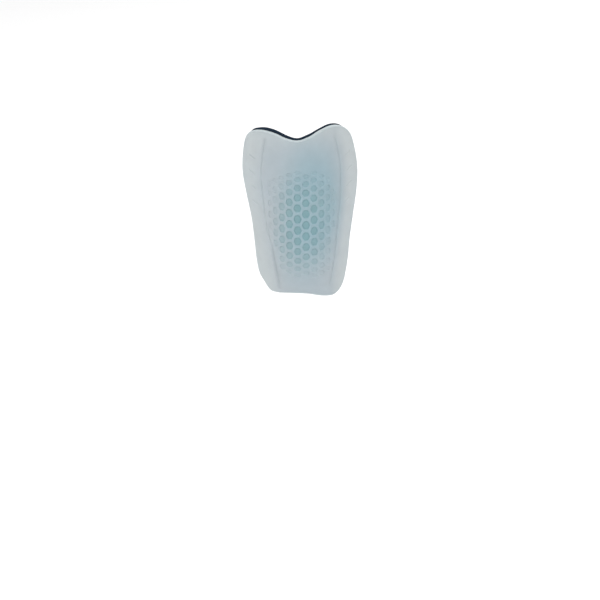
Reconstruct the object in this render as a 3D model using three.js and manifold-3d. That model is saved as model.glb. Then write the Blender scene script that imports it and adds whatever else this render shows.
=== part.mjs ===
import * as THREE from 'three';
import Module from 'manifold-3d';

// Ski shin pad: a moulded gel guard lying on a thin textile liner, bent round the front of the shin.
// Millimetres. +Z runs up the shin, the guard faces -Y, and the origin is the middle of the crest
// on the skin side. Both layers are shaped flat, as (across, up, outward), and then bent.

// Layers, counted outward from the skin
const LINER_THICKNESS = 2.4;
const LAYER_GAP = 0.3;
const GEL_THICKNESS = 3.4;
const GEL_BACK = LINER_THICKNESS + LAYER_GAP;
const GEL_FACE = GEL_BACK + GEL_THICKNESS;
const RIM_BEVEL = 1.1;
const RIM_SHOULDER = 0.33;
const EDGE_ROUND = 0.5;

// Section of the shin side: a tight crest, then flatter flanks, narrowing downward, with a slight bow
const CREST_RADIUS = 38;
const CREST_ANGLE = THREE.MathUtils.degToRad(36);
const FLANK_RADIUS = 95;
const TAPER_PER_MM = 0.0018;
const BOW_RADIUS = 1400;
const WING_THINNING = { from: 20, to: 56, share: 0.2 };

// Flat outline of the gel: its two sides by height, then the scalloped top and the sloping bottom
const SIDES = [
  { up: 60, left: -49.4, right: 46.8 },
  { up: 45, left: -54.5, right: 52.3 },
  { up: 28, left: -56.6, right: 55.4 },
  { up: 10, left: -53.4, right: 54.0 },
  { up: -12, left: -48.3, right: 48.6 },
  { up: -32, left: -46.3, right: 43.8 },
  { up: -50, left: -45.0, right: 40.8 },
  { up: -62, left: -42.0, right: 37.8 },
];
const TOP = [
  { across: -43.5, up: 65.9 },
  { across: -36.0, up: 68.3 },
  { across: -28.0, up: 68.8 },
  { across: -19.0, up: 67.3 },
  { across: -10.0, up: 63.5 },
  { across: -1.5, up: 61.7 },
  { across: 7.0, up: 64.1 },
  { across: 16.0, up: 68.7 },
  { across: 25.5, up: 71.2 },
  { across: 33.5, up: 70.2 },
  { across: 40.5, up: 66.6 },
];
const BOTTOM = [
  { across: -36.5, up: -68.5 },
  { across: -29.8, up: -75.1 },
  { across: -24.0, up: -75.8 },
  { across: -10.0, up: -74.4 },
  { across: 2.0, up: -75.0 },
  { across: 14.0, up: -78.7 },
  { across: 23.0, up: -80.0 },
  { across: 30.0, up: -76.6 },
  { across: 35.0, up: -69.8 },
];
const OUTLINE_STEPS = 112;

// The liner is set in a little from the gel, but stands above the gel's top edge, and less so at the lobes
const LINER_INSET = 0.8;
const LINER_RISE = { from: 54, to: 64, across: 0.2, up: 2.8 };
const LINER_FALL = { left: { from: 26, to: 40, share: 0.2 }, right: { from: 2, to: 18, share: 0.4 } };

// Two flex grooves that part the middle panel from the wings
const GROOVES = [
  { up: 63, left: -26.9, right: 27.9 },
  { up: 45, left: -31.4, right: 32.4 },
  { up: 26, left: -33.4, right: 33.7 },
  { up: 5, left: -32.3, right: 32.2 },
  { up: -18, left: -29.4, right: 28.8 },
  { up: -33, left: -25.6, right: 26.6 },
  { up: -50, left: -22.5, right: 23.6 },
  { up: -71, left: -19.6, right: 19.2 },
];
const GROOVE = { width: 1.8, floor: 0.8, depth: 0.8, steps: 26 };

// Short slanting flex notches along the wings, by height and by their place on each side
const NOTCHES = [
  { up: 44.2, left: -42.2, right: 42.2 },
  { up: 30.8, left: -43.4, right: 43.6 },
  { up: 17.4, left: -42.6, right: 43.2 },
  { up: 4, left: -41.2, right: 41.6 },
];
const NOTCH = { width: 1.8, floor: 0.9, depth: 0.5, run: 5, fall: 2.4 };

// Honeycomb field of pockets: pitches at its middle, where cells are largest and deepest
// It lies a little askew: lean is its shift across for each row, tilt its shift up for each column
const FIELD = { across: -0.6, up: -11.7, columns: 4.5, rows: 5.5, reach: 5.9, lean: 0.24, tilt: -0.58 };
const COLUMN_PITCH = 6.15;
const ROW_PITCH = 10;
const COLUMN_CROWDING = 0.005;
const ROW_CROWDING = 0.0055;
const CELL_SHARE = { middle: 0.76, rim: 0.62 };
const CELL_DEPTH = { middle: 0.9, rim: 0.35 };
const CELL_DRAFT = 0.84;
const GROOVE_CLEARANCE = 2;

// Cutters stand this far above the face, and facets stay below these spans so that bends are smooth
const CUTTER_TOP = 1;
const MAX_SPAN = { across: 5, up: 38 };
const MIN_FACET_AREA = 0.01;

const wasm = await Module();
wasm.setup();

// Closed smooth loop through hand-picked points, as evenly spaced flat points
function smoothLoop(points, steps) {
  const knots = points.map(({ across, up }) => new THREE.Vector3(across, up, 0));
  const curve = new THREE.CatmullRomCurve3(knots, true, 'centripetal');
  return curve.getSpacedPoints(steps).slice(0, steps).map((p) => new THREE.Vector2(p.x, p.y));
}

// Loop moved inward by a distance, along the normals of an anticlockwise loop
function inset(loop, distance) {
  return loop.map((point, i) => {
    const before = loop[(i + loop.length - 1) % loop.length];
    const after = loop[(i + 1) % loop.length];
    const along = after.clone().sub(before).normalize();
    return new THREE.Vector2(point.x - along.y * distance, point.y + along.x * distance);
  });
}

// Anticlockwise outline of the gel: along the bottom, up the right side, over the top, down the left
function gelOutline() {
  const right = SIDES.map(({ up, right: across }) => ({ across, up })).reverse();
  const left = SIDES.map(({ up, left: across }) => ({ across, up }));
  return smoothLoop([...BOTTOM, ...right, ...TOP.toReversed(), ...left], OUTLINE_STEPS);
}

function linerOutline(gel) {
  return inset(gel, LINER_INSET).map((point) => {
    const { from, to, share } = point.x < 0 ? LINER_FALL.left : LINER_FALL.right;
    const fall = share * THREE.MathUtils.smoothstep(Math.abs(point.x), from, to);
    const rise = (1 - fall) * THREE.MathUtils.smoothstep(point.y, LINER_RISE.from, LINER_RISE.to);
    return new THREE.Vector2(point.x + LINER_RISE.across * rise, point.y + LINER_RISE.up * rise);
  });
}

// Closed body through matching rings of points, with the first and last ring filled in
function loft(rings, fill) {
  const count = rings[0].length;
  const vertices = rings.flat();
  const triangles = [];
  for (let r = 0; r + 1 < rings.length; r += 1) {
    for (let i = 0; i < count; i += 1) {
      const a = r * count + i;
      const b = r * count + ((i + 1) % count);
      triangles.push([a, b, b + count], [a, b + count, a + count]);
    }
  }
  const last = (rings.length - 1) * count;
  for (const [a, b, c] of fill) {
    triangles.push([a, c, b], [last + a, last + b, last + c]);
  }
  return new wasm.Manifold(new wasm.Mesh({
    numProp: 3,
    vertProperties: Float32Array.from(vertices.flatMap((v) => [v.x, v.y, v.z])),
    triVerts: Uint32Array.from(triangles.flat()),
  }));
}

function raised(loop, outward) {
  return loop.map((point) => new THREE.Vector3(point.x, point.y, outward));
}

// Facets between the lower and the upper edge of a loop, in strips that run up the pad
function stripFill(loop) {
  const byAcross = loop.map((_, i) => i).sort((a, b) => loop[a].x - loop[b].x);
  const chain = (step) => {
    const edge = [byAcross[0]];
    while (edge.at(-1) !== byAcross.at(-1)) edge.push((edge.at(-1) + step + loop.length) % loop.length);
    return edge;
  };
  const lower = chain(1);
  const upper = chain(-1);
  const triangles = [];
  for (const next of byAcross.slice(1, -1)) {
    const isLow = lower[1] === next;
    triangles.push([lower[0], isLow ? next : upper[1], upper[0]]);
    (isLow ? lower : upper).shift();
  }
  triangles.push([lower[0], lower[1], upper[0]]);
  return triangles.filter((triangle) => new Set(triangle).size === 3);
}

// Flat layer with rounded edges: each row says how far out a ring lies and how far it is set in
function layer(outline, rows) {
  const rings = rows.map(({ outward, setIn }) => raised(inset(outline, setIn), outward));
  return loft(rings, stripFill(outline));
}

// Tapered channel cutter along a flat path
function channel(path, { width, floor, depth }) {
  const low = GEL_FACE - depth;
  const high = GEL_FACE + CUTTER_TOP;
  const flare = ((width - floor) / depth) * CUTTER_TOP;
  const rings = path.map((point, i) => {
    const before = path[Math.max(i - 1, 0)];
    const after = path[Math.min(i + 1, path.length - 1)];
    const along = after.clone().sub(before).normalize();
    const place = (offset, outward) =>
      new THREE.Vector3(point.x - along.y * offset, point.y + along.x * offset, outward);
    return [
      place(-floor / 2, low),
      place(floor / 2, low),
      place((width + flare) / 2, high),
      place(-(width + flare) / 2, high),
    ];
  });
  return loft(rings, [[0, 1, 2], [0, 2, 3]]);
}

function groovePath(side) {
  const knots = GROOVES.map((row) => new THREE.Vector2(row[side], row.up));
  return new THREE.SplineCurve(knots).getSpacedPoints(GROOVE.steps);
}

// Place of a groove across the pad at a height
function grooveAcross(side, up) {
  const low = GROOVES.findIndex((row) => row.up <= up);
  if (low < 1) return GROOVES.at(low)[side];
  const [a, b] = [GROOVES[low - 1], GROOVES[low]];
  return THREE.MathUtils.mapLinear(up, a.up, b.up, a[side], b[side]);
}

function notchCutters() {
  return NOTCHES.flatMap(({ up, left, right }) => [[left, -1], [right, 1]].map(([across, lean]) => {
    const half = new THREE.Vector2(lean * NOTCH.run, NOTCH.fall).multiplyScalar(0.5);
    const middle = new THREE.Vector2(across, up);
    return channel([middle.clone().sub(half), middle.clone().add(half)], NOTCH);
  }));
}

// Place along one axis of the field, and the pitch there, for places that crowd outward
function crowded(step, pitch, crowding) {
  const place = pitch * step * (1 - crowding * step ** 2);
  const spacing = pitch * (1 - 3 * crowding * step ** 2);
  return { place, spacing };
}

// Honeycomb cells: rows of every other column are shifted by half a row, and cells shrink outward
function honeycomb() {
  const cells = [];
  for (let column = -FIELD.columns; column <= FIELD.columns; column += 1) {
    const shift = (column + FIELD.columns) % 2 ? 0.5 : 0;
    for (let row = -FIELD.rows + shift; row <= FIELD.rows; row += 1) {
      const reach = Math.hypot(column, row) / FIELD.reach;
      const { place: columnPlace, spacing: columnSpacing } = crowded(column, COLUMN_PITCH, COLUMN_CROWDING);
      const { place: rowPlace, spacing: rowSpacing } = crowded(row, ROW_PITCH, ROW_CROWDING);
      const across = FIELD.across + columnPlace + FIELD.lean * row;
      const up = FIELD.up + rowPlace + FIELD.tilt * column;
      const room = Math.min(across - grooveAcross('left', up), grooveAcross('right', up) - across);
      const share = THREE.MathUtils.lerp(CELL_SHARE.middle, CELL_SHARE.rim, reach ** 2);
      const halfWidth = (share * columnSpacing * 2) / 3;
      if (reach > 1 || room < halfWidth + GROOVE_CLEARANCE) continue;
      const depth = THREE.MathUtils.lerp(CELL_DEPTH.middle, CELL_DEPTH.rim, reach ** 2);
      cells.push({ across, up, halfWidth, halfHeight: (share * rowSpacing) / 2, depth });
    }
  }
  return cells;
}

// Tapered six-sided cutter of one cell, with two corners pointing sideways
function cellCutter({ across, up, halfWidth, halfHeight, depth }) {
  const ring = (scale, outward) => Array.from({ length: 6 }, (_, corner) => {
    const turn = (corner * Math.PI) / 3;
    const x = across + scale * halfWidth * Math.cos(turn);
    const y = up + scale * halfHeight * (Math.sin(turn) / Math.sin(Math.PI / 3));
    return new THREE.Vector3(x, y, outward);
  });
  const fill = [[0, 1, 2], [0, 2, 3], [0, 3, 4], [0, 4, 5]];
  const flare = 1 + (1 - CELL_DRAFT) * (CUTTER_TOP / depth);
  return loft([ring(CELL_DRAFT, GEL_FACE - depth), ring(flare, GEL_FACE + CUTTER_TOP)], fill);
}

// Every directed facet edge, with its facet and the corner across from it
function facetEdges(triangles) {
  const edges = new Map();
  triangles.forEach((triangle, facet) => {
    for (let i = 0; i < 3; i += 1) {
      const [a, b, far] = [0, 1, 2].map((step) => triangle[(i + step) % 3]);
      edges.set(`${a} ${b}`, { a, b, far, facet });
    }
  });
  return edges;
}

// Turns shared edges of level facets so that they run up the pad rather than across it
function comb(vertices, triangles) {
  const span = (a, b) => Math.abs(vertices[a][0] - vertices[b][0]);
  const isLevel = (corners) => corners.every((v) => vertices[v][2] === vertices[corners[0]][2]);
  const doubleArea = (a, b, c) => {
    const [p, q, r] = [vertices[a], vertices[b], vertices[c]];
    return (q[0] - p[0]) * (r[1] - p[1]) - (r[0] - p[0]) * (q[1] - p[1]);
  };
  let turned = true;
  while (turned) {
    turned = false;
    const touched = new Set();
    const edges = facetEdges(triangles);
    for (const { a, b, far, facet } of edges.values()) {
      const other = edges.get(`${b} ${a}`);
      const isBusy = touched.has(facet) || touched.has(other.facet);
      if (isBusy || !isLevel([a, b, far, other.far]) || span(far, other.far) >= span(a, b)) continue;
      const facing = Math.sign(doubleArea(a, b, far));
      const halves = [[far, a, other.far], [other.far, b, far]];
      if (halves.some((half) => doubleArea(...half) * facing < 2 * MIN_FACET_AREA)) continue;
      [triangles[facet], triangles[other.facet]] = halves;
      touched.add(facet).add(other.facet);
      turned = true;
    }
  }
}

// Splits every facet edge that spans too far, so that the facets can follow the bend
function refine(vertices, triangles) {
  const middles = new Map();
  const isLong = (a, b) =>
    Math.abs(vertices[a][0] - vertices[b][0]) > MAX_SPAN.across ||
    Math.abs(vertices[a][1] - vertices[b][1]) > MAX_SPAN.up;
  const middle = (a, b) => {
    const key = a < b ? `${a} ${b}` : `${b} ${a}`;
    if (!middles.has(key)) {
      middles.set(key, vertices.length);
      vertices.push(vertices[a].map((value, axis) => (value + vertices[b][axis]) / 2));
    }
    return middles.get(key);
  };
  let waiting = triangles;
  const done = [];
  while (waiting.length) {
    const next = [];
    for (const triangle of waiting) {
      const long = [0, 1, 2].filter((i) => isLong(triangle[i], triangle[(i + 1) % 3]));
      if (long.length === 0) {
        done.push(triangle);
        continue;
      }
      const start = long.length === 2 ? [0, 1, 2].find((i) => !long.includes(i)) : long[0];
      const [a, b, c] = [0, 1, 2].map((i) => triangle[(start + i) % 3]);
      if (long.length === 1) {
        const ab = middle(a, b);
        next.push([a, ab, c], [ab, b, c]);
      } else if (long.length === 2) {
        const [bc, ca] = [middle(b, c), middle(c, a)];
        next.push([a, b, bc], [a, bc, ca], [ca, bc, c]);
      } else {
        const [ab, bc, ca] = [middle(a, b), middle(b, c), middle(c, a)];
        next.push([a, ab, ca], [ab, b, bc], [ca, bc, c], [ab, bc, ca]);
      }
    }
    waiting = next;
  }
  return done;
}

// Place on the bent pad of a flat point: across along the skin, up the shin, outward from the skin
function bend([across, up, outward]) {
  const size = 1 + TAPER_PER_MM * up;
  const crest = CREST_RADIUS * size;
  const flank = FLANK_RADIUS * size;
  const span = Math.abs(across);
  const past = Math.max(span - crest * CREST_ANGLE, 0);
  const crestTurn = Math.min(span / crest, CREST_ANGLE);
  const turn = crestTurn + past / flank;
  const side = crest * Math.sin(crestTurn) + flank * (Math.sin(turn) - Math.sin(crestTurn));
  const back = crest * (1 - Math.cos(crestTurn)) + flank * (Math.cos(crestTurn) - Math.cos(turn));
  const { from, to, share } = WING_THINNING;
  const thin = 1 - share * THREE.MathUtils.smoothstep(span, from, to);
  const height = outward > GEL_BACK ? GEL_BACK + (outward - GEL_BACK) * thin : outward;
  return [
    Math.sign(across) * (side + height * Math.sin(turn)),
    back - height * Math.cos(turn) + up ** 2 / (2 * BOW_RADIUS),
    up,
  ];
}

function triples(list) {
  return Array.from({ length: list.length / 3 }, (_, i) => [...list.slice(3 * i, 3 * i + 3)]);
}

function bentMesh(name, solid, look) {
  const { vertProperties, triVerts } = solid.getMesh();
  const vertices = triples(vertProperties);
  const combed = triples(triVerts);
  comb(vertices, combed);
  const triangles = refine(vertices, combed);
  const geometry = new THREE.BufferGeometry();
  geometry.setAttribute('position', new THREE.Float32BufferAttribute(vertices.flatMap(bend), 3));
  geometry.setIndex(triangles.flat());
  geometry.computeVertexNormals();
  const mesh = new THREE.Mesh(geometry, new THREE.MeshStandardMaterial(look));
  mesh.name = name;
  return mesh;
}

function gelPad(outline) {
  const blank = layer(outline, [
    { outward: GEL_BACK, setIn: EDGE_ROUND },
    { outward: GEL_BACK + EDGE_ROUND, setIn: 0 },
    { outward: GEL_FACE - RIM_BEVEL, setIn: 0 },
    { outward: GEL_FACE - RIM_SHOULDER, setIn: RIM_SHOULDER },
    { outward: GEL_FACE, setIn: RIM_BEVEL },
  ]);
  const cutters = [
    ...honeycomb().map(cellCutter),
    ...['left', 'right'].map((side) => channel(groovePath(side), GROOVE)),
    ...notchCutters(),
  ];
  const moulded = cutters.reduce((solid, cutter) => solid.subtract(cutter), blank);
  return bentMesh('gel_pad', moulded, { color: 0xb9c3c8, roughness: 0.42, metalness: 0 });
}

function backingLiner(outline) {
  const solid = layer(outline, [
    { outward: 0, setIn: EDGE_ROUND },
    { outward: EDGE_ROUND, setIn: 0 },
    { outward: LINER_THICKNESS - EDGE_ROUND, setIn: 0 },
    { outward: LINER_THICKNESS, setIn: EDGE_ROUND },
  ]);
  return bentMesh('backing_liner', solid, { color: 0x14283a, roughness: 0.9, metalness: 0 });
}

const outline = gelOutline();
const shinPad = new THREE.Group();
shinPad.add(gelPad(outline), backingLiner(linerOutline(outline)));

export default shinPad;
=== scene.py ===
import math
from dataclasses import dataclass

import bpy
import numpy as np
from mathutils import Matrix, Vector
from mathutils.geometry import delaunay_2d_cdt


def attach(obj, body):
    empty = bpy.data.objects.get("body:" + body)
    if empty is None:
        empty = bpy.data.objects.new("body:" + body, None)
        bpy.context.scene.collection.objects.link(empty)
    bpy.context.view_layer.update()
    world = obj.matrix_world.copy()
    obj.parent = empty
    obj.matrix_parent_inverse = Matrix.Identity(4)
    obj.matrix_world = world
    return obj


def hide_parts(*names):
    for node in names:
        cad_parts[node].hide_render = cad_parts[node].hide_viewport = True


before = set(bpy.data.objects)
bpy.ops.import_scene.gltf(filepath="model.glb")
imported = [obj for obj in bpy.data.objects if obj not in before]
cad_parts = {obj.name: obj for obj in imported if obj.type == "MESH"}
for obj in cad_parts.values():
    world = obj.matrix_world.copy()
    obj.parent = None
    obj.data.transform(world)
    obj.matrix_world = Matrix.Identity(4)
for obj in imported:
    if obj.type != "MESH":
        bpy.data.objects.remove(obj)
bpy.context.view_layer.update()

# Ski shin pad: a milky gel guard on a navy textile liner, bent round the front of the shin.
# Both layers are drawn flat, in millimetres, as (across, up, outward from the skin), then bent.
# Objects are in metres: +Z up the shin, the guard faces -Y, the origin is the crest on the skin side.

MM = 0.001

# Layers, counted outward from the skin
LINER_THICKNESS = 2.4
LAYER_GAP = 0.3
GEL_BACK = LINER_THICKNESS + LAYER_GAP
GEL_THICKNESS = 3.4
GEL_FACE = GEL_BACK + GEL_THICKNESS

# Section of the shin side: a tight crest, then flatter flanks, narrowing downward, with a slight bow
CREST_RADIUS = 38
CREST_ANGLE = math.radians(36)
FLANK_RADIUS = 95
TAPER_PER_MM = 0.0018
BOW_RADIUS = 1400
WING_THINNING = {"from": 20, "to": 56, "share": 0.2}

# Flat outline of the gel: its sides by height (up, left, right), its top and its bottom (across, up)
SIDES = [(60, -49.4, 46.8), (45, -54.5, 52.3), (28, -56.6, 55.4), (10, -53.4, 54.0),
         (-12, -48.3, 48.6), (-32, -46.3, 43.8), (-50, -45.0, 40.8), (-62, -42.0, 37.8)]
TOP = [(-43.5, 65.9), (-36.0, 68.3), (-28.0, 68.8), (-19.0, 67.3), (-10.0, 63.5), (-1.5, 61.7),
       (7.0, 64.1), (16.0, 68.7), (25.5, 71.2), (33.5, 70.2), (40.5, 66.6)]
BOTTOM = [(-36.5, -68.5), (-29.8, -75.1), (-24.0, -75.8), (-10.0, -74.4), (2.0, -75.0),
          (14.0, -78.7), (23.0, -80.0), (30.0, -76.6), (35.0, -69.8)]
CURVE_STEPS = 40
OUTLINE_STEPS = 480

# Edge of the gel's face: a rounded bevel, then a pressed line that runs round the pad
# The rim's loops lie at these insets from the outline, and every point inside them counts as far inside
RIM_BEVEL = 1.1
RIM_LINE = {"inset": 1.7, "half_width": 0.6, "depth": 0.25}
RIM_INSETS = [0, 0.04, 0.15, 0.35, 0.6, 0.85, RIM_BEVEL, 1.3, 1.5, 1.7, 1.9, 2.1, 2.3, 2.8, 3.4]
FAR_INSIDE = 9

# Loops of the gel's side wall: outward from the gel's back, and inset from the outline
WALL_ROWS = [(GEL_THICKNESS - RIM_BEVEL - 0.3, 0), (0.9, 0), (0.5, 0.02), (0.15, 0.15), (0, 0.5)]

# The liner is set in a little from the gel, but stands above the gel's top edge, and less so at the lobes
# On each side its rise shrinks from the first distance across to the second, by the share that follows
LINER_INSET = 0.8
LINER_RISE = {"from": 54, "to": 64, "across": 0.2, "up": 2.8}
LINER_FALL = {"left": (26, 40, 0.2), "right": (2, 18, 0.4)}
LINER_EDGE_ROWS = 9

# Flex grooves beside the middle panel (up, left, right), and the section that is pressed along them
# A groove fades in over its ends, which are measured inward from its first and last row
GROOVES = [(63, -26.9, 27.9), (45, -31.4, 32.4), (26, -33.4, 33.7), (5, -32.3, 32.2),
           (-18, -29.4, 28.8), (-33, -25.6, 26.6), (-50, -22.5, 23.6), (-71, -19.6, 19.2)]
GROOVE = {"half_width": 1.35, "depth": 0.8, "step": 1.2, "ends": (-1, 6)}

# Slanting flex notches on the wings (up, left, right)
NOTCHES = [(44.2, -42.2, 42.2), (30.8, -43.4, 43.6), (17.4, -42.6, 43.2), (4, -41.2, 41.6)]
NOTCH = {"half_width": 1.15, "depth": 0.5, "step": 0.6, "run": 5, "fall": 2.4}

# Section and loops of grooves and notches, as shares of their half width
CHANNEL_WALL = (0.1, 1)
CHANNEL_RINGS = [1.05, 0.85, 0.65, 0.45, 0.25]
CAP_STEPS = 6

# Honeycomb field of pockets, largest and deepest in its middle
# It lies a little askew: lean is its shift across for each row, tilt its shift up for each column
# It ends at its reach, in pitches from its middle, or at the clearance from a groove
FIELD = {"across": -0.6, "up": -11.7, "columns": 4.5, "rows": 5.5, "reach": 5.9,
         "lean": 0.24, "tilt": -0.58}
COLUMN_PITCH = 6.15
ROW_PITCH = 10
COLUMN_CROWDING = 0.005
ROW_CROWDING = 0.0055
CELL_SHARE = (0.76, 0.62)
CELL_DEPTH = (0.9, 0.35)
GROOVE_CLEARANCE = 2

# Section and loops of a pocket, as shares of the way from its middle to its edge, and its hexagon
CELL_WALL = (0.8, 1.04)
CELL_RINGS = [1.08, 1.03, 0.99, 0.95, 0.91, 0.87, 0.83, 0.79, 0.7, 0.4]
CELL_CORNERS = 24
HEX_SHARPNESS = 14
HEX_APOTHEM = math.cos(math.pi / 6)

# Spacing of the loose points between the loops
# They keep clear of a border by a share of the spacing, of a pocket by a factor, of a channel by a distance
FACE_STEP = 1.7
BACK_STEP = 4
SKIN_STEP = 2.5
CLEARANCE = {"border": 0.6, "cell": 1.2, "channel": 0.7}

# What counts as inside a pocket or a channel is a little less than its outermost loop
CELL_HOLE = 0.985 * CELL_RINGS[0]
CHANNEL_HOLE = 1.03

# The triangulation keeps what lies inside the outer loop, and joins points closer than this
KEEP_INSIDE = 1
JOIN_DISTANCE = 1e-6

# The panel's tint is full nearer the right groove than the left, and the field's middle lies right of the
# pockets' middle: this darkens the right side, partly as the gel's own tone and partly as painted shade
# Where the gel is tinted: the panel, inward from the grooves and down from their tops, and the field
# Pockets are tinted by their column and row, and fade at their edges
# The tints of the field and of the pockets fill ovals, which reach further below their middles than above
# Painted shade darkens grooves and notches by height (up, left, right), more on the left, and fades across
# their width
PANEL_EDGE = {"left": (-17, 10), "right": (-11, 1)}
PANEL_TOP = {"below": (-6, 16), "share": 0.42}
FIELD_TINT_AND_SHADE = {"across": 9, "lean": 0.17, "up": 5, "half_width": 35, "above": 73, "below": 86,
              "full": 0.285}
POCKET_TINT = {"column": -0.1, "row": 0.3, "lean": 0.1, "columns": 4.7, "above": 6.1, "below": 6.7,
               "full": 0.2}
POCKET_TINT_EDGE = (0.9, 1.08)
GROOVE_SHADE_ROWS = {"fade": (0.6, 2.8), "rows": [(60, 0.4, 0.3), (42, 0, 0), (-28, 0, 0), (-40, 1, 0)]}
NOTCH_SHADE_ROWS = {"fade": (0.1, 1.4), "rows": [(44, 0.8, 0), (32, 0, 0)]}

# Colours of the gel, of the painted shade in grooves and of the painted highlight along the rim, how
# strongly these show, and what is the same all over it
MILKY = (0.474, 0.517, 0.531)
PANEL = (0.393, 0.446, 0.478)
FIELD_TEAL = (0.285, 0.398, 0.446)
POCKET_SHADE = (0.733, 0.877, 0.857)
GROOVE_SHADE_COLOUR = (0.34, 0.38, 0.41)
GROOVE_SHADE_SHARE = 0.53
# The rim's colour is a painted highlight: lighter and bluer than the gel beside it, as an edge that catches
# the light
RIM_HIGHLIGHT = (0.475, 0.535, 0.55)
RIM_HIGHLIGHT_FADE = {"inset": (0.3, 1.6), "share": (0.7, 0)}
WARM_TONE = (1.006, 1.0, 0.995)
COOL_TONE = (0.99, 1.0, 1.008)
GEL_LOOK = {"IOR": 1.41, "Subsurface Weight": 0.4, "Subsurface Radius": (1, 1, 1),
            "Subsurface Scale": 1.5 * MM}

# Colours and stitches of the liner's knit, and what is the same all over it
NAVY_DARK = (0.0045, 0.013, 0.026)
NAVY_LIGHT = (0.0075, 0.022, 0.043)
KNIT = {"column": 1.7 * MM, "row": 1.35 * MM, "slant": 1.1, "saddle": 0.4, "fuzz": 0.5}
LINER_LOOK = {"Specular IOR Level": 0.2, "Sheen Weight": 0.06, "Sheen Roughness": 0.5}

# Camera: a long lens above the pad, which lies above the middle of the picture
CAMERA_DISTANCE = 1.417
CAMERA_ELEVATION = math.radians(18)
CAMERA_ROLL = math.radians(-2.2)
CAMERA_LENS = 100
SENSOR_WIDTH = 36
CLIP_START = 0.01
PICTURE_SIZE = 600
PAD_PIXEL = (302, 210)

# Floor, two softboxes that face the pad, and the surround's brightness at the horizon and straight above
FLOOR_HEIGHT = -0.6
FLOOR_REACH = 60
FLOOR_TONES = ((0.91, 0.91, 0.91), (0.93, 0.93, 0.93))
SOFTBOXES = {"key": {"place": (-0.6, -3.2, 4.4), "size": 2.4, "power": 100},
             "back": {"place": (2, 3, 2.2), "size": 1.5, "power": 60}}
SURROUND = (0.84, 0.905)


# Small helpers

def smoothstep(low, high, value):
    share = np.clip((np.asarray(value, float) - low) / (high - low), 0, 1)
    return share * share * (3 - 2 * share)


def mix(a, b, share):
    return a + (b - a) * share


def smooth_curve(knots, closed):
    """Dense points of a centripetal Catmull-Rom curve through the knots."""
    knots = np.array(knots, float)
    if closed:
        row = np.vstack([knots[-1:], knots, knots[:2]])
    else:
        row = np.vstack([knots[:1], knots, knots[-1:]])
    t = np.linspace(0, 1, CURVE_STEPS, endpoint=False)[:, None]
    points = []
    for before, start, end, after in zip(row, row[1:], row[2:], row[3:]):
        gap = math.sqrt(np.linalg.norm(end - start))
        gap_before = math.sqrt(np.linalg.norm(start - before)) or gap
        gap_after = math.sqrt(np.linalg.norm(after - end)) or gap
        leave = (start - before) / gap_before - (end - before) / (gap_before + gap) + (end - start) / gap
        arrive = (end - start) / gap - (after - start) / (gap + gap_after) + (after - end) / gap_after
        points.append((2 * t**3 - 3 * t**2 + 1) * start + (t**3 - 2 * t**2 + t) * gap * leave
                      + (3 * t**2 - 2 * t**3) * end + (t**3 - t**2) * gap * arrive)
    if not closed:
        points.append(knots[-1:])
    return np.vstack(points)


def spaced(points, steps, closed):
    """Evenly spaced points along a polyline."""
    line = np.vstack([points, points[:1]]) if closed else points
    along = np.concatenate([[0], np.cumsum(np.linalg.norm(np.diff(line, axis=0), axis=1))])
    places = np.linspace(0, along[-1], steps, endpoint=not closed)
    return np.stack([np.interp(places, along, column) for column in line.T], axis=1)


def inset(loop, distance):
    """An anticlockwise loop moved inward."""
    along = np.roll(loop, -1, axis=0) - np.roll(loop, 1, axis=0)
    along /= np.linalg.norm(along, axis=1)[:, None]
    return loop + distance * np.stack([-along[:, 1], along[:, 0]], axis=1)


def distance_to_line(points, line):
    """Distance of each point to a polyline."""
    nearest = np.full(len(points), np.inf)
    for a, b in zip(line[:-1], line[1:]):
        d = b - a
        share = np.clip(((points - a) @ d) / (d @ d), 0, 1)
        nearest = np.minimum(nearest, np.linalg.norm(points - a - share[:, None] * d, axis=1))
    return nearest


def is_inside(points, loop):
    """Whether each point lies inside a loop, by the edges that it has on its right."""
    inside = np.zeros(len(points), bool)
    for (x0, y0), (x1, y1) in zip(loop, np.roll(loop, -1, axis=0)):
        if y0 != y1:
            crosses = (y0 > points[:, 1]) != (y1 > points[:, 1])
            inside ^= crosses & (points[:, 0] < x0 + (points[:, 1] - y0) * (x1 - x0) / (y1 - y0))
    return inside


def grid_inside(loop, step):
    """Staggered grid points well inside a loop."""
    low, high = loop.min(axis=0), loop.max(axis=0)
    rows = []
    for r, up in enumerate(np.arange(low[1], high[1], step * math.sqrt(3) / 2)):
        across = np.arange(low[0] + step / 2 * (r % 2), high[0], step)
        rows.append(np.column_stack([across, np.full(len(across), up)]))
    points = np.vstack(rows)
    points = points[is_inside(points, loop)]
    closed = np.vstack([loop, loop[:1]])
    return points[distance_to_line(points, closed) > CLEARANCE["border"] * step]


def bend(flat):
    """Places in metres of flat points (across, up, outward)."""
    across, up, outward = np.asarray(flat, float).T
    size = 1 + TAPER_PER_MM * up
    crest, flank = CREST_RADIUS * size, FLANK_RADIUS * size
    span = np.abs(across)
    past = np.maximum(span - crest * CREST_ANGLE, 0)
    crest_turn = np.minimum(span / crest, CREST_ANGLE)
    turn = crest_turn + past / flank
    side = crest * np.sin(crest_turn) + flank * (np.sin(turn) - np.sin(crest_turn))
    back = crest * (1 - np.cos(crest_turn)) + flank * (np.cos(crest_turn) - np.cos(turn))
    thin = 1 - WING_THINNING["share"] * smoothstep(WING_THINNING["from"], WING_THINNING["to"], span)
    height = np.where(outward > GEL_BACK, GEL_BACK + (outward - GEL_BACK) * thin, outward)
    x = np.sign(across) * (side + height * np.sin(turn))
    y = back - height * np.cos(turn) + up**2 / (2 * BOW_RADIUS)
    return MM * np.stack([x, y, up], axis=1)


# Features of the gel's face

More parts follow.
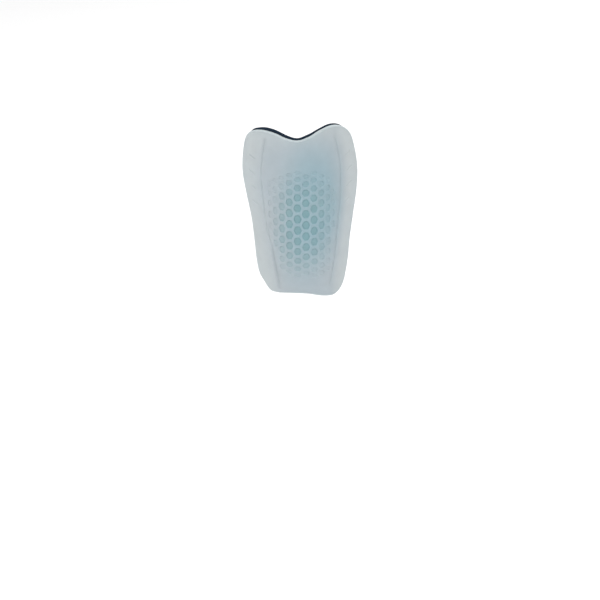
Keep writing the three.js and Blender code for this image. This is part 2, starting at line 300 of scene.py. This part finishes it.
def gel_outline():
    """Anticlockwise: along the bottom, up the right side, over the top, down the left side."""
    right_side = [(right, up) for up, _, right in reversed(SIDES)]
    left_side = [(left, up) for up, left, _ in SIDES]
    knots = BOTTOM + right_side + TOP[::-1] + left_side
    return spaced(smooth_curve(knots, closed=True), OUTLINE_STEPS, closed=True)


def at_height(rows, side, up):
    """Value of one side at a height, between rows (up, left, right) that are listed downward."""
    heights, left, right = np.array(rows[::-1], float).T
    return np.interp(up, heights, left if side == "left" else right)


def groove_lines():
    lines = []
    for column in (1, 2):
        curve = smooth_curve([(row[column], row[0]) for row in GROOVES], closed=False)
        length = np.linalg.norm(np.diff(curve, axis=0), axis=1).sum()
        lines.append(spaced(curve, int(length / GROOVE["step"]), closed=False)[1:-1])
    return lines


def notch_lines():
    half = 0.5 * np.array([NOTCH["run"], NOTCH["fall"]])
    steps = int(2 * np.linalg.norm(half) / NOTCH["step"]) + 1
    lines = []
    for up, left, right in NOTCHES:
        for across, lean in ((left, -1), (right, 1)):
            middle = np.array([across, up])
            reach = half * [lean, 1]
            lines.append(spaced(np.array([middle + reach, middle - reach]), steps, closed=False))
    return lines


def channel_ring(line, offset):
    """Anticlockwise loop at a distance round an open line."""
    along = np.gradient(line, axis=0)
    along /= np.linalg.norm(along, axis=1)[:, None]
    normal = np.stack([-along[:, 1], along[:, 0]], axis=1)
    right, left = line - offset * normal, line + offset * normal

    def cap(centre, start):
        turns = np.linspace(0, math.pi, CAP_STEPS + 2)[1:-1] + math.atan2(start[1], start[0])
        return centre + offset * np.stack([np.cos(turns), np.sin(turns)], axis=1)

    return np.vstack([right, cap(line[-1], -normal[-1]), left[::-1], cap(line[0], normal[0])])


def hexagon_gauge(x, y):
    """1 on a hexagon with rounded corners whose six corners lie near radius 1, less inside it."""
    total = 0
    for turn in (math.pi / 6, math.pi / 2, 5 * math.pi / 6):
        total = total + np.abs((x * math.cos(turn) + y * math.sin(turn)) / HEX_APOTHEM) ** HEX_SHARPNESS
    return total ** (1 / HEX_SHARPNESS)


@dataclass
class Cell:
    """One pocket: a hexagon with rounded corners, two of them pointing sideways."""

    across: float
    up: float
    half_width: float
    half_height: float
    depth: float
    tint: float

    def level(self, points):
        """How far points lie from the middle, as a share of the way to the edge."""
        x = (points[:, 0] - self.across) / self.half_width
        y = (points[:, 1] - self.up) / self.half_height * HEX_APOTHEM
        return hexagon_gauge(x, y)

    def ring(self, level):
        turns = np.linspace(0, 2 * math.pi, CELL_CORNERS, endpoint=False)
        x, y = np.cos(turns), np.sin(turns)
        reach = level / hexagon_gauge(x, y)
        return np.stack([self.across + self.half_width * reach * x,
                         self.up + self.half_height * reach * y / HEX_APOTHEM], axis=1)


def crowded(step, pitch, crowding):
    """Place along one axis of the field, and the pitch there, for places that crowd outward."""
    return pitch * step * (1 - crowding * step**2), pitch * (1 - 3 * crowding * step**2)


def hexagon_reach(column_spacing):
    """Half the width of hexagons that touch, in columns this far apart."""
    return column_spacing * 2 / 3


def pocket_tint(column, row):
    """A pocket is tinted less toward the end of an oval in the field."""
    off_column = (column - POCKET_TINT["column"] - POCKET_TINT["lean"] * row) / POCKET_TINT["columns"]
    off_row = row - POCKET_TINT["row"]
    half_rows = POCKET_TINT["above" if off_row > 0 else "below"]
    return 1 - smoothstep(POCKET_TINT["full"], 1, math.hypot(off_column, off_row / half_rows))


def honeycomb():
    """Cells of the field: rows of every other column are shifted by half a row."""
    cells = []
    for c, column in enumerate(np.arange(-FIELD["columns"], FIELD["columns"] + 1)):
        column_place, column_spacing = crowded(column, COLUMN_PITCH, COLUMN_CROWDING)
        for row in np.arange(-FIELD["rows"] + 0.5 * (c % 2), FIELD["rows"] + 0.5):
            row_place, row_spacing = crowded(row, ROW_PITCH, ROW_CROWDING)
            across = FIELD["across"] + column_place + FIELD["lean"] * row
            up = FIELD["up"] + row_place + FIELD["tilt"] * column
            room = min(across - at_height(GROOVES, "left", up), at_height(GROOVES, "right", up) - across)
            reach = math.hypot(column, row) / FIELD["reach"]
            share = mix(*CELL_SHARE, reach**2)
            half_width = share * hexagon_reach(column_spacing)
            half_height = share * row_spacing / 2
            if reach <= 1 and room >= half_width + GROOVE_CLEARANCE:
                depth = mix(*CELL_DEPTH, reach**2)
                cells.append(Cell(across, up, half_width, half_height, depth, pocket_tint(column, row)))
    return cells


class GelFace:
    """Features, relief and tints of the gel's outer face."""

    def __init__(self):
        self.outline = gel_outline()
        self.cells = honeycomb()
        self.grooves = groove_lines()
        self.notches = notch_lines()
        self.channels = [(line, GROOVE["half_width"]) for line in self.grooves]
        self.channels += [(line, NOTCH["half_width"]) for line in self.notches]

    def in_feature(self, points):
        """Whether points lie inside the outermost loop of a pocket or channel."""
        inside = np.zeros(len(points), bool)
        for cell in self.cells:
            inside |= cell.level(points) < CELL_HOLE
        for line, half_width in self.channels:
            inside |= distance_to_line(points, line) < CHANNEL_HOLE * half_width
        return inside

    def clear_of_features(self, points):
        clear = np.ones(len(points), bool)
        for cell in self.cells:
            clear &= cell.level(points) > CLEARANCE["cell"] * CELL_RINGS[0]
        for line, half_width in self.channels:
            clear &= distance_to_line(points, line) > CHANNEL_RINGS[0] * half_width + CLEARANCE["channel"]
        return clear

    def groove_strength(self, points):
        """Grooves run out softly at both ends."""
        high, low = GROOVES[0][0], GROOVES[-1][0]
        return smoothstep(*GROOVE["ends"], np.minimum(high - points[:, 1], points[:, 1] - low))

    def relief(self, points, edge):
        """Outward height of face points, given their distance from the outline."""
        corner = np.clip(1 - edge / RIM_BEVEL, 0, 1)
        drop = RIM_BEVEL * (1 - np.sqrt(1 - corner**2))
        off_line = np.abs(edge - RIM_LINE["inset"]) / RIM_LINE["half_width"]
        drop += RIM_LINE["depth"] * (1 - smoothstep(0, 1, off_line))
        groove_depth = GROOVE["depth"] * self.groove_strength(points)
        for line in self.grooves:
            off_line = distance_to_line(points, line) / GROOVE["half_width"]
            drop += groove_depth * (1 - smoothstep(*CHANNEL_WALL, off_line))
        for line in self.notches:
            off_line = distance_to_line(points, line) / NOTCH["half_width"]
            drop += NOTCH["depth"] * (1 - smoothstep(*CHANNEL_WALL, off_line))
        for cell in self.cells:
            drop += cell.depth * (1 - smoothstep(*CELL_WALL, cell.level(points)))
        return GEL_FACE - drop

    def cell_tint(self, points):
        """How strongly a pocket's thin floor shows the dark layer behind it."""
        tint = np.zeros(len(points))
        for cell in self.cells:
            inside = 1 - smoothstep(*POCKET_TINT_EDGE, cell.level(points))
            tint = np.maximum(tint, inside * cell.tint)
        return tint

    def field_tint_and_shade(self, points):
        # Partly painted shade: the oval's middle lies right of the pockets' middle, darkening the right
        # side
        middle = FIELD_TINT_AND_SHADE["across"] + FIELD_TINT_AND_SHADE["lean"] * np.minimum(points[:, 1], 0)
        across = (points[:, 0] - middle) / FIELD_TINT_AND_SHADE["half_width"]
        up = points[:, 1] - FIELD_TINT_AND_SHADE["up"]
        half_height = np.where(up > 0, FIELD_TINT_AND_SHADE["above"], FIELD_TINT_AND_SHADE["below"])
        return 1 - smoothstep(FIELD_TINT_AND_SHADE["full"], 1, np.hypot(across, up / half_height))

    def panel_tint_and_shade(self, points):
        # Partly painted shade: the tint reaches full strength nearer the right groove than the left
        left = points[:, 0] - at_height(GROOVES, "left", points[:, 1])
        right = at_height(GROOVES, "right", points[:, 1]) - points[:, 0]
        below_top = GROOVES[0][0] - points[:, 1]
        top = mix(PANEL_TOP["share"], 1, smoothstep(*PANEL_TOP["below"], below_top))
        return top * smoothstep(*PANEL_EDGE["left"], left) * smoothstep(*PANEL_EDGE["right"], right)

    def shade_in_grooves(self, points):
        """Painted shade in grooves and notches."""
        tint = np.zeros(len(points))
        for lines, kind in ((self.grooves, GROOVE_SHADE_ROWS), (self.notches, NOTCH_SHADE_ROWS)):
            for line in lines:
                near = 1 - smoothstep(*kind["fade"], distance_to_line(points, line))
                side = "left" if line[0, 0] < 0 else "right"
                tint = np.maximum(tint, near * at_height(kind["rows"], side, points[:, 1]))
        return tint


# Meshes

class FlatMesh:
    """Points and faces of a layer while it is still flat."""

    def __init__(self):
        self.points = np.empty((0, 2))
        self.faces = []

    def add(self, points):
        """Adds points and returns their numbers."""
        first = len(self.points)
        self.points = np.vstack([self.points, points])
        return np.arange(first, len(self.points))

    def rings(self, loops):
        """Adds closed loops of the same length, with quads from each to the next."""
        rings = [self.add(loop) for loop in loops]
        for outer, inner in zip(rings[:-1], rings[1:]):
            quads = np.stack([outer, np.roll(outer, -1), np.roll(inner, -1), inner], axis=1)
            self.faces += quads.tolist()
        return rings

    def close_cell(self, ring, cell):
        """Faces from a pocket's innermost loop to its middle."""
        [centre] = self.add([(cell.across, cell.up)])
        self.faces += [[a, b, centre] for a, b in zip(ring, np.roll(ring, -1))]

    def close_channel(self, ring, line):
        """Faces from a channel's innermost loop to the line along its floor."""
        spine = self.add(line)
        count = len(spine)
        caps = (len(ring) - 2 * count) // 2
        right, far_cap, left, near_cap = np.split(ring, [count, count + caps, 2 * count + caps])
        left = left[::-1]
        for i in range(count - 1):
            self.faces.append([right[i], right[i + 1], spine[i + 1], spine[i]])
            self.faces.append([spine[i], spine[i + 1], left[i + 1], left[i]])
        far_end = [right[-1], *far_cap, left[-1]]
        near_end = [left[0], *near_cap, right[0]]
        for around, end in ((far_end, spine[-1]), (near_end, spine[0])):
            self.faces += [[a, b, end] for a, b in zip(around[:-1], around[1:])]

    def filling(self, outer, grid, holes=(), in_hole=None):
        """Triangles inside the outer loop, through loose grid points and round any holes."""
        loops = [outer, *holes]
        used = np.concatenate([*loops, self.add(grid)])
        edges = []
        start = 0
        for loop in loops:
            edges += [(start + i, start + (i + 1) % len(loop)) for i in range(len(loop))]
            start += len(loop)
        places = self.points[used]
        made = delaunay_2d_cdt([Vector(p) for p in places], edges, [], KEEP_INSIDE, JOIN_DISTANCE)
        made_faces, sources = made[2:4]
        first = [ids[0] for ids in sources]
        triangles = np.array([[first[v] for v in face] for face in made_faces])
        if holes:
            triangles = triangles[~in_hole(places[triangles].mean(axis=1))]
        return used[triangles].tolist()


def front_mesh(face):
    """Flat mesh of the gel's face, its outermost loop, and how far each point lies inside the outline."""
    mesh = FlatMesh()
    rim = mesh.rings([inset(face.outline, distance) for distance in RIM_INSETS])
    holes = []
    for cell in face.cells:
        rings = mesh.rings([cell.ring(level) for level in CELL_RINGS])
        mesh.close_cell(rings[-1], cell)
        holes.append(rings[0])
    for line, half_width in face.channels:
        rings = mesh.rings([channel_ring(line, half_width * share) for share in CHANNEL_RINGS])
        mesh.close_channel(rings[-1], line)
        holes.append(rings[0])
    grid = grid_inside(mesh.points[rim[-1]], FACE_STEP)
    grid = grid[face.clear_of_features(grid)]
    mesh.faces += mesh.filling(rim[-1], grid, holes, face.in_feature)
    edge = np.full(len(mesh.points), FAR_INSIDE, float)
    for loop, distance in zip(rim, RIM_INSETS):
        edge[loop] = distance
    return mesh, rim[0], edge


def gel_mesh():
    """The gel guard: its moulded face, its side wall and the back that lies on the liner."""
    face = GelFace()
    front, rim, edge = front_mesh(face)
    back = FlatMesh()
    wall = back.rings([inset(face.outline, set_in) for _, set_in in WALL_ROWS])
    back.faces += back.filling(wall[-1], grid_inside(back.points[wall[-1]], BACK_STEP))
    back_heights = np.full(len(back.points), GEL_BACK, float)
    for loop, (outward, _) in zip(wall, WALL_ROWS):
        back_heights[loop] = GEL_BACK + outward
    flat_points = np.vstack([np.column_stack([front.points, face.relief(front.points, edge)]),
                             np.column_stack([back.points, back_heights])])

    first = len(front.points)
    faces = front.faces + [[v + first for v in reversed(corners)] for corners in back.faces]
    upper, lower = rim, wall[0] + first
    faces += np.stack([upper, lower, np.roll(lower, -1), np.roll(upper, -1)], axis=1).tolist()

    # The wall and the back have no tint, and count as the very edge, where the rim's painted highlight is
    # strongest
    places = front.points
    values = {"cell": face.cell_tint(places), "field": face.field_tint_and_shade(places),
              "panel": face.panel_tint_and_shade(places), "groove": face.shade_in_grooves(places), "edge": edge}
    nothing = np.zeros(len(back.points))
    values = {key: np.concatenate([value, nothing]) for key, value in values.items()}
    return flat_points, faces, flat_points, values


def liner_outline():
    loop = inset(gel_outline(), LINER_INSET)
    span = np.abs(loop[:, 0])
    falls = {side: share * smoothstep(start, end, span) for side, (start, end, share) in LINER_FALL.items()}
    fall = np.where(loop[:, 0] < 0, falls["left"], falls["right"])
    rise = (1 - fall) * smoothstep(LINER_RISE["from"], LINER_RISE["to"], loop[:, 1])
    return loop + rise[:, None] * [LINER_RISE["across"], LINER_RISE["up"]]


def liner_cut():
    """Width and height in metres, and area in square metres, of the liner while it is flat."""
    cut = MM * liner_outline()
    ahead = np.roll(cut, -1, axis=0)
    area = 0.5 * abs((cut[:, 0] * ahead[:, 1] - cut[:, 1] * ahead[:, 0]).sum())
    return np.ptp(cut, axis=0).tolist(), float(area)


def liner_mesh():
    """The liner: a half-round edge between its skin side and the side that the gel lies on."""
    outline = liner_outline()
    half = LINER_THICKNESS / 2
    turns = np.linspace(-math.pi / 2, math.pi / 2, LINER_EDGE_ROWS)
    mesh = FlatMesh()
    rim = mesh.rings([inset(outline, half * (1 - math.cos(turn))) for turn in turns])
    skin_grid = grid_inside(mesh.points[rim[0]], SKIN_STEP)
    mesh.faces += [corners[::-1] for corners in mesh.filling(rim[0], skin_grid)]
    gel_grid = grid_inside(mesh.points[rim[-1]], BACK_STEP)
    mesh.faces += mesh.filling(rim[-1], gel_grid)
    heights = np.concatenate([np.repeat(half + half * np.sin(turns), OUTLINE_STEPS),
                              np.zeros(len(skin_grid)), np.full(len(gel_grid), LINER_THICKNESS)])
    flat_points = np.column_stack([mesh.points, heights])

    # The knit wraps round the edge: there its places follow the arc
    spread = flat_points.copy()
    for loop, turn in zip(rim, turns):
        spread[loop, :2] = inset(outline, half * (1 - (turn + math.pi / 2)))
    return flat_points, mesh.faces, spread, {}


def make_object(name, flat_points, faces, spread, values):
    """Bent mesh whose points carry their spread-out places, for patterns, and the values of its tints."""
    mesh = bpy.data.meshes.new(name)
    mesh.from_pydata(bend(flat_points).tolist(), [], faces)
    mesh.polygons.foreach_set("use_smooth", np.ones(len(mesh.polygons), bool))
    places = mesh.attributes.new("flat", "FLOAT_VECTOR", "POINT")
    places.data.foreach_set("vector", (MM * spread).astype(np.float32).ravel())
    for key, value in values.items():
        mesh.attributes.new(key, "FLOAT", "POINT").data.foreach_set("value", value.astype(np.float32))
    mesh.update()
    piece = bpy.data.objects.new(name, mesh)
    bpy.context.scene.collection.objects.link(piece)
    return piece


# Materials

class Graph:
    """Short calls for the nodes used here, in one node tree."""

    # Where a mix node that mixes colours takes its share and both colours, and gives its result
    MIX_INPUTS = (0, 6, 7)
    MIX_RESULT = 2

    def __init__(self, tree):
        self.nodes = tree.nodes
        self.links = tree.links

    def feed(self, socket, value):
        """Links an output to a socket, or sets the socket to a number or a colour."""
        if isinstance(value, bpy.types.NodeSocket):
            self.links.new(value, socket)
        else:
            socket.default_value = (*value, 1) if isinstance(value, tuple) else value

    def attribute(self, name, output="Fac"):
        node = self.nodes.new("ShaderNodeAttribute")
        node.attribute_name = name
        return node.outputs[output]

    def split(self, vector):
        node = self.nodes.new("ShaderNodeSeparateXYZ")
        self.feed(node.inputs["Vector"], vector)
        return node.outputs

    def noise(self, where, scale, detail, roughness):
        node = self.nodes.new("ShaderNodeTexNoise")
        sockets = {"Vector": where, "Scale": scale, "Detail": detail, "Roughness": roughness}
        for key, value in sockets.items():
            self.feed(node.inputs[key], value)
        return node.outputs["Fac"]

    def ranged(self, value, source, target):
        """A value carried from one range to another."""
        node = self.nodes.new("ShaderNodeMapRange")
        keys = ("Value", "From Min", "From Max", "To Min", "To Max")
        for key, given in zip(keys, (value, *source, *target)):
            self.feed(node.inputs[key], given)
        return node.outputs["Result"]

    def calculate(self, operation, a, b=0.0):
        node = self.nodes.new("ShaderNodeMath")
        node.operation = operation
        for socket, value in zip(node.inputs, (a, b)):
            self.feed(socket, value)
        return node.outputs[0]

    def blend(self, share, a, b, kind="MIX"):
        node = self.nodes.new("ShaderNodeMix")
        node.data_type = "RGBA"
        node.blend_type = kind
        for number, value in zip(self.MIX_INPUTS, (share, a, b)):
            self.feed(node.inputs[number], value)
        return node.outputs[self.MIX_RESULT]

    def bump(self, height, distance, strength, normal=None):
        node = self.nodes.new("ShaderNodeBump")
        sockets = {"Height": height, "Distance": distance, "Strength": strength}
        for key, value in sockets.items():
            self.feed(node.inputs[key], value)
        if normal is not None:
            self.feed(node.inputs["Normal"], normal)
        return node.outputs["Normal"]


def new_material(name, look):
    """A material with its node graph and shader, whose sockets are set as the look says."""
    material = bpy.data.materials.new(name)
    material.use_nodes = True
    graph = Graph(material.node_tree)
    shader = graph.nodes["Principled BSDF"]
    for key, value in look.items():
        shader.inputs[key].default_value = value
    return material, graph, shader.inputs


def gel_material():
    """Milky gel, tinted where it is thin or lies on the dark layer, with painted shade in grooves and
    notches and toward its right side, a painted highlight along its rim, faint clouds and a fine grain.
    """
    material, graph, shader = new_material("milky_gel", GEL_LOOK)
    where = graph.attribute("flat", "Vector")
    clouds = graph.noise(where, scale=130, detail=4, roughness=0.55)
    drift = graph.noise(where, scale=28, detail=2, roughness=0.5)
    waves = graph.noise(where, scale=420, detail=2, roughness=0.5)
    grain = graph.noise(where, scale=1900, detail=3, roughness=0.6)

    # The panel and field tints are partly the gel's own tone and partly painted shade on its right side
    colour = graph.blend(graph.attribute("panel"), MILKY, PANEL)
    colour = graph.blend(graph.attribute("field"), colour, FIELD_TEAL)
    # Painted shade darkens the grooves and notches
    groove = graph.calculate("MULTIPLY", graph.attribute("groove"), GROOVE_SHADE_SHARE)
    colour = graph.blend(groove, colour, GROOVE_SHADE_COLOUR)
    colour = graph.blend(graph.attribute("cell"), colour, POCKET_SHADE, "MULTIPLY")
    # Painted highlight: the gel is lighter along its rim, as an edge that catches the light
    rim = graph.ranged(graph.attribute("edge"), RIM_HIGHLIGHT_FADE["inset"], RIM_HIGHLIGHT_FADE["share"])
    colour = graph.blend(rim, colour, RIM_HIGHLIGHT)
    shade = graph.ranged(clouds, source=(0.3, 0.7), target=(0.97, 1.03))
    colour = graph.blend(1.0, colour, shade, "MULTIPLY")
    tone = graph.blend(graph.ranged(drift, source=(0.35, 0.65), target=(0, 1)), WARM_TONE, COOL_TONE)
    graph.feed(shader["Base Color"], graph.blend(1.0, colour, tone, "MULTIPLY"))

    graph.feed(shader["Roughness"], graph.ranged(clouds, source=(0.3, 0.7), target=(0.44, 0.56)))
    soft = graph.bump(waves, distance=0.06 * MM, strength=0.5)
    graph.feed(shader["Normal"], graph.bump(grain, distance=0.03 * MM, strength=0.5, normal=soft))
    return material


def knit_height(graph, where):
    """Plain jersey: columns of stitches, each with two slanting legs."""
    place = graph.split(where)
    column = graph.calculate("DIVIDE", place["X"], KNIT["column"])
    row = graph.calculate("DIVIDE", place["Y"], KNIT["row"])
    off_column = graph.calculate("PINGPONG", column, 0.5)
    leg = graph.calculate("SINE", graph.calculate("MULTIPLY", off_column, 2 * math.pi))
    slant = graph.calculate("MULTIPLY", off_column, KNIT["slant"])
    stitch = graph.calculate("FRACT", graph.calculate("ADD", row, slant))
    loop = graph.calculate("SINE", graph.calculate("MULTIPLY", stitch, math.pi))
    return graph.calculate("MULTIPLY", leg, graph.ranged(loop, source=(0, 1), target=(KNIT["saddle"], 1)))


def liner_material():
    """Navy jersey knit with a little fuzz."""
    material, graph, shader = new_material("navy_knit", LINER_LOOK)
    where = graph.attribute("flat", "Vector")
    fuzz = graph.noise(where, scale=2600, detail=3, roughness=0.65)
    clouds = graph.noise(where, scale=45, detail=3, roughness=0.5)
    nap = graph.calculate("MULTIPLY", fuzz, KNIT["fuzz"])
    height = graph.calculate("ADD", knit_height(graph, where), nap)
    # Painted shade and highlight: the knit is darker where its stitches lie low and lighter on their tops
    shade = graph.ranged(height, source=(0.1, 1.3), target=(0.45, 1.5))
    colour = graph.blend(1.0, graph.blend(clouds, NAVY_DARK, NAVY_LIGHT), shade, "MULTIPLY")
    graph.feed(shader["Base Color"], colour)
    graph.feed(shader["Roughness"], graph.ranged(fuzz, source=(0.3, 0.7), target=(0.82, 0.95)))
    graph.feed(shader["Normal"], graph.bump(height, distance=0.25 * MM, strength=0.8))
    return material


def floor_material():
    material, graph, shader = new_material("pale_floor", {"Roughness": 0.8})
    place = graph.nodes.new("ShaderNodeTexCoord").outputs["Object"]
    speckle = graph.noise(place, scale=40, detail=3, roughness=0.5)
    graph.feed(shader["Base Color"], graph.blend(speckle, *FLOOR_TONES))
    return material


# The two pieces

def add_piece(name, made, material, node):
    piece = make_object(name, *made)
    piece.data.materials.append(material)
    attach(piece, "root")
    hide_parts(node)
    return piece


gel = add_piece("gel_guard", gel_mesh(), gel_material(), "gel_pad")
liner = add_piece("textile_liner", liner_mesh(), liner_material(), "backing_liner")
cut_size, cut_area = liner_cut()


# Floor, light and camera

def add_floor():
    sides = [(-1, -1), (1, -1), (1, 1), (-1, 1)]
    corners = [(FLOOR_REACH * x, FLOOR_REACH * y, FLOOR_HEIGHT) for x, y in sides]
    mesh = bpy.data.meshes.new("floor")
    mesh.from_pydata(corners, [], [[0, 1, 2, 3]])
    mesh.materials.append(floor_material())
    floor = bpy.data.objects.new("floor", mesh)
    bpy.context.scene.collection.objects.link(floor)


def add_softbox(name, place, size, power):
    data = bpy.data.lights.new(name, "AREA")
    data.shape = "DISK"
    data.size = size
    data.energy = power
    lamp = bpy.data.objects.new(name, data)
    lamp.location = place
    lamp.rotation_euler = (-Vector(place)).to_track_quat("-Z", "Y").to_euler()
    bpy.context.scene.collection.objects.link(lamp)


def add_surround():
    """White surround that has the far floor's tone at the horizon, so that no line shows there."""
    world = bpy.data.worlds.new("studio")
    world.use_nodes = True
    graph = Graph(world.node_tree)
    height = graph.split(graph.nodes.new("ShaderNodeTexCoord").outputs["Generated"])["Z"]
    background = graph.nodes["Background"].inputs
    graph.feed(background["Color"], (1, 1, 1))
    graph.feed(background["Strength"], graph.ranged(height, source=(0, 1), target=SURROUND))
    bpy.context.scene.world = world


def add_camera():
    """Camera in front of the pad and above it, turned so that the origin falls on the pad's pixel."""
    focal = CAMERA_LENS / SENSOR_WIDTH * PICTURE_SIZE
    back = Vector((0, -math.cos(CAMERA_ELEVATION), math.sin(CAMERA_ELEVATION)))
    right = Vector((1, 0, 0))
    up = right.cross(-back)
    facing = Matrix((right, up, back)).transposed()
    off_x = PAD_PIXEL[0] - PICTURE_SIZE / 2
    off_y = PICTURE_SIZE / 2 - PAD_PIXEL[1]
    roll = Matrix.Rotation(CAMERA_ROLL, 3, "Z")
    ray = (roll @ Vector((off_x, off_y, -focal))).normalized()
    aim = ray.rotation_difference(Vector((0, 0, -1))).to_matrix()
    data = bpy.data.cameras.new("camera")
    data.lens = CAMERA_LENS
    data.sensor_width = SENSOR_WIDTH
    data.clip_start = CLIP_START
    camera = bpy.data.objects.new("camera", data)
    camera.matrix_world = Matrix.Translation(back * CAMERA_DISTANCE) @ (facing @ aim @ roll).to_4x4()
    bpy.context.scene.collection.objects.link(camera)
    bpy.context.scene.camera = camera


add_floor()
for name, softbox in SOFTBOXES.items():
    add_softbox(name, **softbox)
add_surround()
add_camera()
bpy.context.scene.view_settings.view_transform = "Standard"
